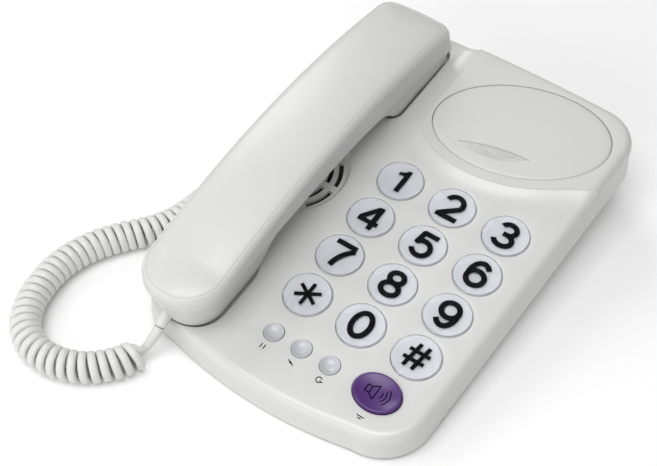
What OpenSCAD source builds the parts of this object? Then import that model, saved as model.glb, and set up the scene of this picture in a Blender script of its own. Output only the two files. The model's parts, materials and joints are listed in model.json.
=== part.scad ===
// Corded desk telephone with large round keys, a straight handset and a curly handset cord.
// The frame: +X to the right, +Y to the back, +Z up. The origin is on the table, under the
// middle of the telephone. The deck is a plane that rises towards the back, and most parts
// are drawn in the deck's own frame: x across, y up the deck, z square to it.

/* [Body] */
// Slope of the deck, in degrees
slope = 7; // [5:0.5:9]
// Height of the deck's middle above the table
deck_h = 28.7; // [28:0.1:32]
// Width of the body at its front edge
body_w_front = 141; // [138:1:146]
// Width of the body at its back edge
body_w_back = 151; // [148:1:156]
// Length of the body along the deck
body_l = 209.5; // [208:0.5:212]
// Radius of the two front corners
corner_front = 23; // [18:1:24]
// Radius of the two back corners
corner_back = 20; // [16:1:22]
// How far the front edge bows out
bow_front = 5.6; // [2:0.1:6]
// How far the back edge bows out
bow_back = 1.7; // [1:0.1:3]
// Height of the side wall below the deck, at the front
skirt_h = 14; // [13:0.5:15]
// How much taller the side wall is at the back
skirt_drop = 3.5; // [2:0.5:5]
// How far the side wall's lower edge stands out
skirt_flare = 1; // [0.5:0.1:1.5]
// Radius of the rounded top edge
edge_r = 4.5; // [3:0.5:6]
// Wall thickness of the covers
wall = 2.4; // [2:0.1:3]
// Height of the raised terrace at the back right
terrace_h = 3; // [2:0.5:4]
// How far the wedge under the body stands in from the side wall
wedge_inset = 12; // [11:1:15]

/* [Keys] */
// Distance between key columns
key_pitch_x = 28; // [27:0.5:29]
// Distance between key rows
key_pitch_y = 24.9; // [24.6:0.1:26]
// Radius of a key's clear cap
key_r = 10.9; // [10:0.1:11.2]
// How far a key travels when pressed
key_travel = 1.2; // [0.8:0.1:1.4]
// Height of a key's dome above its rim
key_dome = 1.2; // [1:0.1:2]
// Radius of the small function buttons
small_r = 4.4; // [4:0.1:4.8]
// Length of the oval speakerphone button
speaker_button_l = 21.8; // [20:0.2:23]
// Width of the oval speakerphone button
speaker_button_w = 17.6; // [16:0.2:18]

/* [Oval panel] */
// Length of the oval panel
oval_l = 85.4; // [80:0.2:88]
// Width of the oval panel
oval_w = 56.6; // [52:0.2:58]
// Turn of the oval's long axis, in degrees
oval_turn = 19.7; // [15:0.1:25]
// Length of the crescent lens
lens_l = 35; // [30:1:38]

/* [Handset] */
// Width of the handset
handset_w = 40; // [38:1:42]
// Radius of its front corners, nearly a half-circle
nose_r = 19; // [15:1:19]
// Radius of its back corners
tail_r = 9; // [7:1:11]

/* [Cord] */
// Outer diameter of the curly stretch
coil_d = 14.5; // [12:0.5:16]
// Diameter of the cord itself
cord_d = 3.6; // [3:0.1:4]

/* [Hidden] */
$fn = 48;
key_names = ["1", "2", "3", "4", "5", "6", "7", "8", "9", "star", "0", "hash"];

deck_y = 1.7;                       // puts the middle of the telephone over the origin
big = 400;
gap = 0.15;
foot_h = 2;
tray_floor = foot_h + 2.2;
shell_white = [0.88, 0.88, 0.87];
handset_white = [0.86, 0.86, 0.85];

// Keypad layout, in the deck's frame
keypad_x = 23;
keypad_y = -23.5;
key_hole_r = key_r + 0.4;
button_row_y = -84.2;
small_x = [-6.2, 8.3, 22.9];
speaker_button_x = 46.5;
speaker_button_size = [speaker_button_l / 2, speaker_button_w / 2];
flange_z = -4.4;
flange_h = 1.2;
stem_r = 3;
cap_side_z = 1.5;
dish_depth = 1.1;
dish_ball_r = 7.5;
mat_top_z = -9.4;
dome_top_z = mat_top_z + key_travel + 1.1;
board_top_z = -10.2;
board_bottom_z = -11.8;

// Places on the deck
oval_size = [oval_l / 2, oval_w / 2];
oval_c = [27.5, 68.9];
lens_c = [22.5, 51.2];
lens_turn = 12.8;
grille_c = [-52, -5.6];
grille_r = 27;
grille_z = -2.5;
grille_left = -66;                  // the recess ends here, short of the body's edge
speaker_c = [-43.5, -5.6];
slot_radii = [22.4, 17.8, 13.2, 8.6];
handset_x = -45.5;
ear_y = 72;
mouth_y = -84;
hook_c = [-46, 60];
hook_travel = 4;
hook_base_z = -20;
boss_places = [[-58, 98], [66, 93], [60.5, -92], [-60.5, -92]];
post_places = [[9, 1.3], [37, 1.3], [9, -48.3], [37, -48.3]];
foot_places = [[-48, -80], [48, -80], [-50, 76], [50, 76]];
line_jack_x = 20;
handset_jack_y = 36;
jack_z = -8.2;

// ---- Points and outlines ----

function arc(c, r, a0, a1, n) =
    [for (i = [0:n]) let (a = a0 + (a1 - a0) * i / n) [c.x + r * cos(a), c.y + r * sin(a)]];

// A whole outline from its right half, which runs from the front's middle to the back's middle
function both_sides(half, x0) = let (n = len(half)) concat(
    [for (p = half) [x0 + p.x, p.y]],
    [for (i = [n - 1:-1:0]) [x0 - half[i].x, half[i].y]]);

// The body's right half, drawn in by i
function body_half(i) =
    let (wf = body_w_front / 2 - i, wb = body_w_back / 2 - i,
         yf = -body_l / 2 + i, yb = body_l / 2 - i,
         rf = max(corner_front - i, 1), rb = max(corner_back - i, 1))
    concat(
        [for (k = [0:4]) let (t = (k + 0.5) / 5) [t * (wf - rf), yf - bow_front * (1 - t * t)]],
        arc([wf - rf, yf + rf], rf, -90, 0, 6),
        arc([wb - rb, yb - rb], rb, 0, 90, 6),
        [for (k = [4:-1:0]) let (t = (k + 0.5) / 5) [t * (wb - rb), yb + bow_back * (1 - t * t)]]);

function body_outline(i) = both_sides(body_half(i), 0);

function flat_ring(outline, z) = [for (p = outline) [p.x, p.y, z]];

// The side wall's lower edge drops away from the deck towards the back
function skirt_z(y) = -skirt_h - skirt_drop * (y / body_l + 0.5);
function skirt_ring(outline, dz) = [for (p = outline) [p.x, p.y, skirt_z(p.y) + dz]];

function ellipse(size, n) = [for (k = [0:n - 1]) [size.x * cos(360 * k / n), size.y * sin(360 * k / n)]];

// A closed solid from rings of equal length, lowest first, each made by both_sides()
module stack(rings) {
    n = len(rings[0]);
    m = len(rings);
    top = (m - 1) * n;
    polyhedron(
        points = [for (r = rings) each r],
        faces = concat(
            [for (i = [0:n / 2 - 2]) [i, i + 1, n - 2 - i, n - 1 - i]],
            [for (i = [0:n / 2 - 2]) [top + n - 1 - i, top + n - 2 - i, top + i + 1, top + i]],
            [for (l = [0:m - 2], i = [0:n - 1], s = [0:1])
                let (a = l * n + i, b = l * n + (i + 1) % n, c = b + n, d = a + n)
                s == 0 ? [a, d, c] : [a, c, b]]),
        convexity = 10);
}

// Draws its children in the deck's frame
module on_deck() {
    translate([0, deck_y, deck_h]) rotate([slope, 0, 0]) children();
}

module above(z) {
    intersection() {
        children();
        translate([-big / 2, -big / 2, z]) cube(big);
    }
}

module prism(z0, z1) {
    translate([0, 0, z0]) linear_extrude(z1 - z0) children();
}

module rod(c, r, z0, z1) {
    translate([c.x, c.y, z0]) cylinder(r = r, h = z1 - z0);
}

module block(x, y, z) {
    translate([x[0], y[0], z[0]]) cube([x[1] - x[0], y[1] - y[0], z[1] - z[0]]);
}

// Where the keys and their holes go
function key_place(k) =
    [keypad_x + key_pitch_x * (k % 3 - 1), keypad_y + key_pitch_y * (1.5 - floor(k / 3))];

// ---- Base: covers ----

// The body's outside, up to a height of top, drawn in by i
module cover_block(top, i) {
    stack([
        skirt_ring(body_outline(i - skirt_flare), 0),
        flat_ring(body_outline(i), -edge_r - 3),
        flat_ring(body_outline(i), top - edge_r),
        flat_ring(body_outline(i + edge_r * 0.13), top - edge_r * 0.5),
        flat_ring(body_outline(i + edge_r * 0.5), top - edge_r * 0.13),
        flat_ring(body_outline(i + edge_r), top)]);
}

// The terrace: straight on its left, round the oval in front, out to the right edge
module terrace_area() {
    polygon(concat(
        [[-15.5, 130], [-15.5, 56]],
        [for (a = [190:10:300]) let (x = 48.5 * cos(a), y = 33.5 * sin(a))
            [oval_c.x + x * cos(oval_turn) - y * sin(oval_turn),
             oval_c.y + x * sin(oval_turn) + y * cos(oval_turn)]],
        [[90, 66], [90, 130]]));
}

module oval_area(grow) {
    translate(oval_c) rotate(oval_turn) polygon(ellipse([oval_size.x + grow, oval_size.y + grow], 72));
}

function lens_arc(grow, sag, dir) =
    [for (k = [-8:8]) let (t = dir * k / 8)
        [t * (lens_l / 2 + grow), sag * (1 - t * t) + grow * sign(sag)]];

module lens_area(grow) {
    translate(lens_c) rotate(lens_turn) polygon(concat(lens_arc(grow, -5, 1), lens_arc(grow, 1.7, -1)));
}

// The two cradle recesses that hold the handset's cups
module rounded_area(x0, x1, y0, y1, r) {
    translate([x0 + r, y0 + r]) square([x1 - x0 - 2 * r, y1 - y0 - 2 * r]);
    for (x = [x0 + r, x1 - r], y = [y0 + r, y1 - r]) translate([x, y]) circle(r = r);
    translate([x0, y0 + r]) square([x1 - x0, y1 - y0 - 2 * r]);
    translate([x0 + r, y0]) square([x1 - x0 - 2 * r, y1 - y0]);
}

ear_pocket = [-64.1, -26.9, 42.8, 98];
ear_pocket_z = -4.9;
mouth_pocket = [-61.5, -29.5, -103.2, -54];
mouth_pocket_z = -3.4;

module pocket_area(box, r, grow) {
    rounded_area(box[0] - grow, box[1] + grow, box[2] - grow, box[3] + grow, r + grow);
}

module top_cover() color(shell_white) on_deck() difference() {
    union() {
        difference() {
            union() {
                cover_block(0, 0);
                intersection() {
                    cover_block(terrace_h, 0.05);
                    prism(-edge_r - 4, terrace_h + 1) terrace_area();
                }
            }
            prism(-skirt_h - skirt_drop - 1, -wall) polygon(body_outline(wall));
        }
        intersection() {
            union() {
                prism(ear_pocket_z - 2, -wall + 0.2) pocket_area(ear_pocket, 7, 1.8);
                prism(mouth_pocket_z - 2, -wall + 0.2) pocket_area(mouth_pocket, 14.5, 1.5);
                rod(grille_c, grille_r + 1.8, grille_z - 2, -wall + 0.2);
                for (b = boss_places) rod(b, 3.6, skirt_z(b.y) + wall + 0.2, -wall + 0.2);
            }
            prism(-skirt_h - skirt_drop, 0) polygon(body_outline(wall - 0.1));
        }
    }
    prism(ear_pocket_z, 2) pocket_area(ear_pocket, 7, 0);
    prism(mouth_pocket_z, 2) pocket_area(mouth_pocket, 14.5, 0);
    intersection() {
        union() {
            translate([grille_c.x, grille_c.y, grille_z])
                cylinder(r1 = grille_r - 2, r2 = grille_r + 0.08, h = 2.6);
            for (r = slot_radii, k = [0:45:315])
                translate([grille_c.x, grille_c.y, grille_z - 4]) rotate(k + 100 / r)
                    rotate_extrude(angle = 45 - 200 / r) translate([r - 1.1, 0]) square([2.2, 8]);
        }
        block([grille_left, 0], [-50, 50], [grille_z - 5, 1]);
    }
    for (k = [0:11]) rod(key_place(k), key_hole_r, -wall - 1, 1);
    for (x = small_x) rod([x, button_row_y], small_r + 0.3, -wall - 1, 1);
    prism(-wall - 1, 1) translate([speaker_button_x, button_row_y])
        polygon(ellipse(speaker_button_size + [0.3, 0.3], 48));
    prism(1, terrace_h + 1) oval_area(0.25);
    rod(lens_c, 3.3, -wall - 1, 2);
    rod(hook_c, 4.1, ear_pocket_z - 4, 1);
    for (b = boss_places) rod(b, 1.5, -skirt_h - skirt_drop, -8);
    block([line_jack_x - 5.8, line_jack_x + 5.8], [95, 120], [jack_z - 4.4, jack_z + 4.6]);
    block([-90, -70], [handset_jack_y - 4.8, handset_jack_y + 4.8], [jack_z - 4.2, jack_z + 4.2]);
}

module wedge(inset, z_top, floor_z) {
    above(floor_z) on_deck() prism(-60, z_top) polygon(body_outline(inset));
}

module bottom_cover() color(shell_white * 0.97) difference() {
    union() {
        difference() {
            union() {
                on_deck() stack([for (dz = [0, wall]) skirt_ring(body_outline(wall + gap), dz)]);
                wedge(wedge_inset, -skirt_h + 0.1, foot_h);
            }
            wedge(wedge_inset + wall, -5, tray_floor);
        }
        above(foot_h + 0.5) on_deck() {
            for (p = post_places) rod(p, 3.2, -50, board_bottom_z);
            rod(hook_c, 5, -50, hook_base_z);
        }
        on_deck() rod(hook_c, 1.6, hook_base_z - 1, -15.5);
    }
    on_deck() {
        for (b = boss_places) rod(b, 1.7, -skirt_h - 8, -8);
        for (p = post_places) rod(p, 1, -17.5, -8);
        block([line_jack_x - 8, line_jack_x + 8], [88, 120], [jack_z - 5.4, 0]);
        block([-90, -58.5], [handset_jack_y - 6.6, handset_jack_y + 6.6], [jack_z - 4.9, 0]);
    }
}

module rubber_feet() color([0.15, 0.15, 0.16])
    for (p = foot_places) rod(p, 6, 0, foot_h);

// ---- Base: panel, lens and lamp ----

module oval_panel() color(shell_white * 0.98) on_deck() difference() {
    prism(1, terrace_h + 0.1) oval_area(0);
    prism(0, terrace_h + 1) lens_area(gap);
}

module ringer_lens() color([0.8, 0.8, 0.8, 0.6]) on_deck() {
    prism(1, terrace_h + 0.5) lens_area(0);
    rod(lens_c, 3, -wall - 0.6, 1);
}

module ringer_lamp() color([0.9, 0.3, 0.2]) on_deck() {
    rod(lens_c, 2.5, -8.6, -5);
    translate([lens_c.x, lens_c.y, -5]) sphere(r = 1.9);
    for (s = [-1.27, 1.27]) rod(lens_c + [s, 0], 0.3, board_top_z, -8.5);
}

// ---- Base: keypad ----

module keypad_mat() color([0.5, 0.52, 0.55]) on_deck() difference() {
    block([-18, 56.5], [-73.5, 27.5], [board_top_z, mat_top_z]);
    for (p = post_places) rod(p, 3.8, board_top_z - 1, mat_top_z + 1);
}

module rubber_domes() color([0.42, 0.44, 0.48]) on_deck() {
    for (k = [0:11]) translate([key_place(k).x, key_place(k).y, mat_top_z])
        cylinder(r1 = 4.5, r2 = 3.2, h = dome_top_z - mat_top_z);
    for (x = concat(small_x, [speaker_button_x])) translate([x, button_row_y, board_top_z])
        cylinder(r1 = 4, r2 = 3.2, h = dome_top_z - board_top_z);
}

// A key's insert: printed disc, flange that holds it under the cover, stem
module key_insert(c) color([0.8, 0.82, 0.86]) on_deck() {
    rod(c, key_r - 1.6, flange_z + flange_h, 0.6);
    rod(c, key_r + 1.1, flange_z, flange_z + flange_h);
    rod(c, stem_r, dome_top_z + 0.05, flange_z);
}

// The part of a cylinder under a shallow sphere: a cap that rises by sag above z1
module domed(c, r, z0, z1, sag) {
    ball_r = (r * r + sag * sag) / (2 * sag);
    intersection() {
        rod(c, r, z0, z1 + sag + 1);
        translate([c.x, c.y, z1 + sag - ball_r]) sphere(r = ball_r, $fn = 160);
    }
}

module key_cap(c) color([0.86, 0.88, 0.92, 0.6]) on_deck() difference() {
    domed(c, key_r, flange_z + flange_h, cap_side_z, key_dome);
    rod(c, key_r - 1.45, flange_z, 0.75);
}

module small_button(x) color([0.84, 0.85, 0.88]) on_deck() {
    difference() {
        rod([x, button_row_y], small_r, flange_z, 0.3);
        translate([x, button_row_y, 0.3 - dish_depth + dish_ball_r]) sphere(r = dish_ball_r, $fn = 120);
    }
    rod([x, button_row_y], small_r + 1.4, flange_z, flange_z + flange_h);
    rod([x, button_row_y], stem_r - 0.6, dome_top_z + 0.05, flange_z);
}

module speaker_button() color([0.39, 0.23, 0.59]) on_deck() {
    c = [speaker_button_x, button_row_y];
    difference() {
        prism(flange_z, 1.6) translate(c) polygon(ellipse(speaker_button_size, 48));
        translate([c.x, c.y, 45.6]) sphere(r = 45, $fn = 160);
    }
    prism(flange_z, flange_z + flange_h) translate(c)
        polygon(ellipse(speaker_button_size + [1.3, 1.3], 48));
    rod(c, stem_r, dome_top_z + 0.05, flange_z);
}

// ---- Base: electronics ----

module main_board() color([0.55, 0.42, 0.22]) on_deck() difference() {
    prism(board_bottom_z, board_top_z)
        polygon([[-20, -90], [53.5, -90], [53.5, -80], [56.4, -80], [56.4, 58], [-20, 58]]);
    for (p = post_places) rod(p, 1.3, -20, 0);
}

module board_parts() color([0.12, 0.12, 0.13]) on_deck() {
    block([-14, 2], [33, 41], [board_top_z, board_top_z + 3.6]);
    block([36, 55], [38, 46], [board_top_z, board_top_z + 3.6]);
    block([-15, -3], [45, 55], [board_top_z, board_top_z + 6.4]);
    for (x = [8, 15, 29]) rod([x, 38], 2.6, board_top_z, board_top_z + 6.2);
    for (x = [36, 41, 46, 51]) rod([x, 53], 1.2, board_top_z, board_top_z + 3);
}

// A loudspeaker's frame, cone and magnet, under the grille
module speaker_frame() color([0.3, 0.3, 0.32]) on_deck() translate([speaker_c.x, speaker_c.y, 0])
    rotate_extrude() polygon([[16, -4.6], [22, -4.6], [22, -6.2], [18.5, -6.6], [11.5, -15], [8.5, -15],
        [8.5, -14], [11, -14], [16, -6.6]]);

module speaker_cone() color([0.16, 0.15, 0.14]) on_deck() translate([speaker_c.x, speaker_c.y, 0])
    rotate_extrude() polygon([[0, -11], [5, -9.8], [6, -11.5], [16, -5.2], [16, -4.8],
        [6.2, -10.6], [5, -8.9], [0, -7.6]]);

module speaker_magnet() color([0.22, 0.22, 0.24]) on_deck() rod(speaker_c, 11, -21, -15);

module ballast_plate() color([0.5, 0.51, 0.52])
    block([-26, 44], [30, 74], [tray_floor, tray_floor + 4]);

// A modular jack: a block with a socket that opens along +Y
module jack(w, l, h, hole_w, hole_h, depth) difference() {
    translate([-w / 2, -l, -h / 2]) cube([w, l, h]);
    translate([-hole_w / 2, -depth, -hole_h / 2]) cube([hole_w, depth + 1, hole_h]);
    translate([-hole_w / 5, -depth, -hole_h / 2 - 1]) cube([hole_w * 0.4, depth + 1, 2]);
}

module line_jack() color([0.13, 0.13, 0.14]) on_deck()
    translate([line_jack_x, 103.2, jack_z]) jack(14, 14, 10.4, 9.8, 6.8, 11.5);

module handset_jack() color([0.13, 0.13, 0.14]) on_deck()
    translate([-71, handset_jack_y, jack_z]) rotate(90) jack(9.8, 12, 9.4, 8, 6.6, 9.5);

module housing_screws() color([0.6, 0.6, 0.62]) on_deck()
    for (b = boss_places) {
        rod(b, 2.9, skirt_z(b.y) - 1.6, skirt_z(b.y) - 0.1);
        rod(b, 1.4, skirt_z(b.y) - 0.2, -9);
    }

module board_screws() color([0.6, 0.6, 0.62]) on_deck()
    for (p = post_places) {
        rod(p, 2.6, board_top_z, board_top_z + 1.5);
        rod(p, 0.95, -17, board_top_z + 0.1);
    }

// ---- Base: hook ----

// The plunger's ledge has room for its travel below the ear recess
hook_ledge_z = ear_pocket_z - 4.3 - hook_travel;

module hook_plunger() color([0.9, 0.9, 0.88]) on_deck() {
    rod(hook_c, 4, hook_ledge_z, ear_pocket_z + 0.25);
    rod(hook_c, 6, hook_ledge_z, hook_ledge_z + 1);
}

module hook_spring() color([0.65, 0.66, 0.68]) on_deck() difference() {
    rod(hook_c, 2.9, hook_base_z, hook_ledge_z - 0.05);
    rod(hook_c, 2.1, hook_base_z - 1, hook_ledge_z + 0.2);
}

module hook_switch() color([0.2, 0.2, 0.22]) above(tray_floor) on_deck() {
    block([-37, -28], [54, 66], [-40, -17.5]);
    block([-33, -30], [58.5, 61.5], [-18, hook_ledge_z - 0.4]);
    block([-42.5, -30], [58.5, 61.5], [hook_ledge_z - 1.1, hook_ledge_z - 0.4]);
}

// ---- Handset ----

// Heights of its parting edge, of the crease and of the belly, at a place y along the deck
function handset_u(y) = (max(y, -88) - 12) / 60;
function edge_z(y) = let (u = handset_u(y)) 19.1 - 5.1 * u - 3 * u * u;
function crease_z(y) = let (u = handset_u(y)) 33.8 - 3.2 * u - 4.6 * u * u;
belly_profile = [[-110, -3.1], [-66, -3.1], [-60, -1], [-52, 8], [-44, 12], [-20, 14], [15, 13],
    [33, 10.5], [40, 5], [45.5, -1.2], [48.5, -4.6], [110, -4.6]];
side_y = [-80, -72, -66, -60, -56, -52, -48, -44, -34, -20, 0, 15, 26, 33, 37, 40, 43, 46, 49, 56, 66, 76];
handset_front = -108.5;
handset_back = 98;

// The handset's right half, drawn in by i, with its back end drawn in by e more
function handset_half(i, e) =
    let (w = handset_w / 2 - i, rf = max(nose_r - i, 1), rb = max(tail_r - i, 1),
         yf = handset_front + i, yb = handset_back - i - e)
    concat(
        [for (t = [0.25, 0.75]) [t * (w - rf), yf - 0.1 * (1 - t * t)]],
        arc([w - rf, yf + rf], rf, -90, 0, 8),
        [for (y = side_y) [w, y]],
        arc([w - rb, yb - rb], rb, 0, 90, 5),
        [for (t = [0.75, 0.25]) [t * (w - rb), yb + 0.5 * (1 - t * t)]]);

function handset_outline(i, e) = both_sides(handset_half(i, e), handset_x);
handset_y = [for (p = handset_outline(0, 0)) p.y];

// Rings whose height follows the top's lower edge or the crease near its crown
function edge_ring(i, dz) = let (o = handset_outline(i, 0))
    [for (k = [0:len(o) - 1]) [o[k].x, o[k].y, edge_z(handset_y[k]) + dz]];
function crease_ring(i, e, dz) = let (o = handset_outline(i, e))
    [for (p = o) [p.x, p.y, crease_z(p.y) + dz]];

// A ring round the belly, drawn in by i_mouth at the mouth cup and by i_ear at the ear cup
function belly_ring(i_mouth, i_ear, dz) =
    let (m = handset_outline(i_mouth, 0), e = handset_outline(i_ear, 1))
    [for (k = [0:len(m) - 1])
        let (t = lookup(handset_y[k], [[-50, 0], [46, 1]]))
        [m[k].x * (1 - t) + e[k].x * t, m[k].y * (1 - t) + e[k].y * t,
         lookup(handset_y[k], belly_profile) + dz]];

screw_y = [-32, 22];
gland_c = [-48, -99.1, 8.9];
gland_tilt = 125;                   // from straight up, towards the front
gland_l = 13;

module gland_rod(r1, r2, l) {
    translate(gland_c) rotate([gland_tilt, 0, 0]) cylinder(r1 = r1, r2 = r2, h = l);
}

module handset_top() color(handset_white) on_deck() difference() {
    union() {
        stack([crease_ring(9, 3, -0.8), crease_ring(4.6, 3, -2.2), edge_ring(2, 0), edge_ring(0, 0),
            crease_ring(0.2, 2, -3.2), crease_ring(0.9, 2.4, -1.2), crease_ring(2.4, 2.6, 0),
            crease_ring(8, 3, 1.5), crease_ring(14, 3, 2.1)]);
        for (y = screw_y) rod([handset_x, y], 3.3, 19.3, 34);
    }
    for (y = screw_y) rod([handset_x, y], 1.25, 18, 29);
}

module handset_bottom() color(handset_white * 0.97) on_deck() difference() {
    union() {
        stack([belly_ring(8.5, 5.6, 0), belly_ring(6.3, 3, 2.2), belly_ring(5.4, 2.2, 4.6),
            edge_ring(0.3, -0.05), edge_ring(2.4, -0.05),
            belly_ring(7.8, 4.5, 4.6), belly_ring(10.5, 6.6, 2.6)]);
        for (y = screw_y) rod([handset_x, y], 5, 14.8, 19.1);
    }
    for (y = screw_y) {
        rod([handset_x, y], 1.6, 8, 25);
        rod([handset_x, y], 3.2, 8, 16.6);
    }
    for (a = [0:60:300]) rod([handset_x + 7 * cos(a), ear_y + 7 * sin(a)], 1.2, -6, 0);
    rod([handset_x, ear_y], 1.2, -6, 0);
    for (s = [-5, 0, 5]) rod([handset_x + s, mouth_y], 1, -6, 2);
    gland_rod(3.1, 3.1, 30);
}

module receiver() color([0.2, 0.2, 0.22]) on_deck() {
    rod([handset_x, ear_y], 12.5, -1.4, 3);
    rod([handset_x, ear_y], 8, 2.9, 7);
}

module microphone() color([0.25, 0.25, 0.27]) on_deck() rod([handset_x, mouth_y], 5, 0.1, 6);

module handset_weight() color([0.45, 0.46, 0.48]) on_deck()
    block([handset_x - 6, handset_x + 6], [-22, 12], [16.6, 22.6]);

module handset_screws() color([0.6, 0.6, 0.62]) on_deck()
    for (y = screw_y) {
        rod([handset_x, y], 2.9, 14.9, 16.6);
        rod([handset_x, y], 1.2, 16.5, 28);
    }

// The strain relief, which tapers to the cord
module cord_gland() color(handset_white * 0.97) on_deck() gland_rod(3, 2.1, gland_l);

// ---- Cord ----

// From the tip of the gland down to the table
tail_route = [[-48, -107.6, 16.5], [-48.3, -109.6, 14.4], [-48.8, -111.9, 12], [-49.4, -114, 9.8],
    [-50.1, -115.9, 8], [-50.6, -117.1, 7.4], [-51, -118.4, 7.4]];
// The curly stretch, lying on the table
coil_route = [[-51, -118.4, 7.4], [-52.8, -124.2, 7.4], [-57, -131, 7.4], [-65, -138.5, 7.4],
    [-75.5, -143, 7.4], [-87, -143.5, 7.4], [-98, -138.5, 7.4], [-106, -128, 7.4], [-110, -114, 7.4],
    [-110.5, -100, 7.4], [-106.8, -86, 7.4], [-99.8, -73.5, 7.4], [-91.8, -62.5, 7.4],
    [-85.8, -49.5, 7.4], [-83.3, -33, 7.4], [-82.5, -16, 7.4]];
// Along the side, up, and round into the plug
lead_route = [[-82.5, -16, 7.4], [-82.5, -12, 6.8], [-82.6, -7, 4.4], [-82.8, -2, 2.4], [-83, 4, 1.9],
    [-83.6, 11, 1.9], [-84.5, 17, 2.1], [-85.6, 23, 3.6], [-86.7, 28.5, 6.6], [-87.6, 33, 10.6],
    [-88.3, 36.4, 15], [-88.2, 38, 19], [-86.8, 38.5, 22.3], [-84.3, 38.5, 24.4], [-81, 38.4, 24.9]];

function unit(v) = v / norm(v);
function route_dir(p, i) = unit(p[min(i + 1, len(p) - 1)] - p[max(i - 1, 0)]);

// A tube along a route: one ring of points at each of the route's own points
module tube(route, r, sides) {
    n = len(route);
    up = [0, 0, 1];
    polyhedron(
        points = [for (i = [0:n - 1], k = [0:sides - 1])
            let (d = route_dir(route, i), u = unit(cross(d, abs(d.z) > 0.9 ? [1, 0, 0] : up)),
                 v = cross(u, d), a = 360 * k / sides)
            route[i] + r * (u * cos(a) + v * sin(a))],
        faces = concat(
            [[for (k = [0:sides - 1]) k]],
            [[for (k = [sides - 1:-1:0]) (n - 1) * sides + k]],
            [for (i = [0:n - 2], k = [0:sides - 1], s = [0:1])
                let (a = i * sides + k, b = i * sides + (k + 1) % sides, c = b + sides, e = a + sides)
                s == 0 ? [a, e, c] : [a, c, b]]),
        convexity = 10);
}

module cord_tail() color(handset_white) tube(tail_route, cord_d / 2, 8);

module cord_coil() color([0.95, 0.95, 0.94]) tube(coil_route, coil_d / 2, 12);

module cord_lead() color(handset_white) tube(lead_route, cord_d / 2, 8);

module cord_plug() color([0.82, 0.84, 0.86, 0.7]) on_deck() {
    block([-78, -62], [handset_jack_y - 3.8, handset_jack_y + 3.8], [jack_z - 3.1, jack_z + 3.1]);
    block([-81, -78], [handset_jack_y - 2.6, handset_jack_y + 2.6], [jack_z - 2.4, jack_z + 2.4]);
    block([-77, -73], [handset_jack_y - 1.5, handset_jack_y + 1.5], [jack_z - 3.9, jack_z - 3.1]);
}

// ---- Every node ----

top_cover();
bottom_cover();
oval_panel();
ringer_lens();
ringer_lamp();
keypad_mat();
rubber_domes();
main_board();
board_parts();
speaker_frame();
speaker_cone();
speaker_magnet();
ballast_plate();
line_jack();
handset_jack();
rubber_feet();
housing_screws();
board_screws();
hook_plunger();
hook_spring();
hook_switch();
small_button(small_x[0]);  // hold_button
small_button(small_x[1]);  // flash_button
small_button(small_x[2]);  // redial_button
speaker_button();
handset_top();
handset_bottom();
receiver();
microphone();
handset_weight();
handset_screws();
cord_gland();
cord_tail();
cord_coil();
cord_lead();
cord_plug();
for (k = [0:11]) {
    key_insert(key_place(k));
    key_cap(key_place(k));
}
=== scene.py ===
"""Looks of a corded desk telephone: materials, smooth shells, clear keys and the curly handset cord."""
import json
import math

import bmesh
import bpy
import numpy as np
from mathutils import Matrix, Vector
from mathutils.geometry import delaunay_2d_cdt


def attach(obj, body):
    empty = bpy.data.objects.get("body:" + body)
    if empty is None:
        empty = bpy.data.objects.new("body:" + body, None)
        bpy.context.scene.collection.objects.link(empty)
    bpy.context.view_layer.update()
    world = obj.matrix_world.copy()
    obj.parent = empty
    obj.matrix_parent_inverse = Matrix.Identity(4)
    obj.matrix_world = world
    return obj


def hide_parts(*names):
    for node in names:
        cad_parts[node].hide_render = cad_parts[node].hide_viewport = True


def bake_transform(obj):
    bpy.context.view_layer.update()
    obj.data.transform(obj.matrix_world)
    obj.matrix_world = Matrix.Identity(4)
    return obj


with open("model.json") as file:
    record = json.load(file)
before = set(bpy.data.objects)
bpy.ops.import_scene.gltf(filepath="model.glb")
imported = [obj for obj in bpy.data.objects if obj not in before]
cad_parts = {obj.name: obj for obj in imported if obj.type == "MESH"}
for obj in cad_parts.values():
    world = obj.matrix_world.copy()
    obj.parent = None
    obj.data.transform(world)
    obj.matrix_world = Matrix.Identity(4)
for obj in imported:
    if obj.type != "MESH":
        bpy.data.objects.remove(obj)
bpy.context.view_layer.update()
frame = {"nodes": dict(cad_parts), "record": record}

# ---- Sizes, in millimetres, in the deck's frame: x across, y up the deck, z square to it ----

MM = 0.001
SLOPE = math.radians(7)
DECK_H, DECK_Y = 28.7, 1.7
EDGE_R = 4.5
SKIRT_H, SKIRT_DROP, SKIRT_FLARE = 14, 3.5, 1
BODY_L = 209.5
WALL = 2.4
TERRACE_H = 3
KEY_NAMES = ["1", "2", "3", "4", "5", "6", "7", "8", "9", "star", "0", "hash"]
KEYPAD = (23, -23.5)
KEY_PITCH = (28, 24.9)
KEY_R = 10.9
BUTTON_ROW_Y = -84.2
SMALL_BUTTONS = {"hold_button": -6.2, "flash_button": 8.3, "redial_button": 22.9}
SMALL_R = 4.4
SPEAKER_X = 46.5
SPEAKER_SIZE = (10.9, 8.8)
OVAL_C, OVAL_SIZE, OVAL_TURN = (27.5, 68.9), (42.7, 28.3), 19.7
LENS_C, LENS_TURN, LENS_L, LENS_NEAR, LENS_FAR = (22.5, 51.2), 12.8, 35, 5, 1.7
GRILLE_C, GRILLE_R, GRILLE_Z, GRILLE_LEFT = (-52, -5.6), 27, -2.5, -66
SLOT_RADII, SLOT_W = (22.4, 17.8, 13.2, 8.6), 2.2
EAR_POCKET, EAR_POCKET_R, EAR_POCKET_Z = (-64.1, -26.9, 42.8, 98), 7, -4.9
MOUTH_POCKET, MOUTH_POCKET_R, MOUTH_POCKET_Z = (-61.5, -29.5, -103.2, -54), 14.5, -3.4
HANDSET_X = -45.5
GRILLE_BEVEL = 2
HOOK_C, HOOK_R = (-46, 60), 4.1
LAMP_HOLE_R = 3.3
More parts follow.
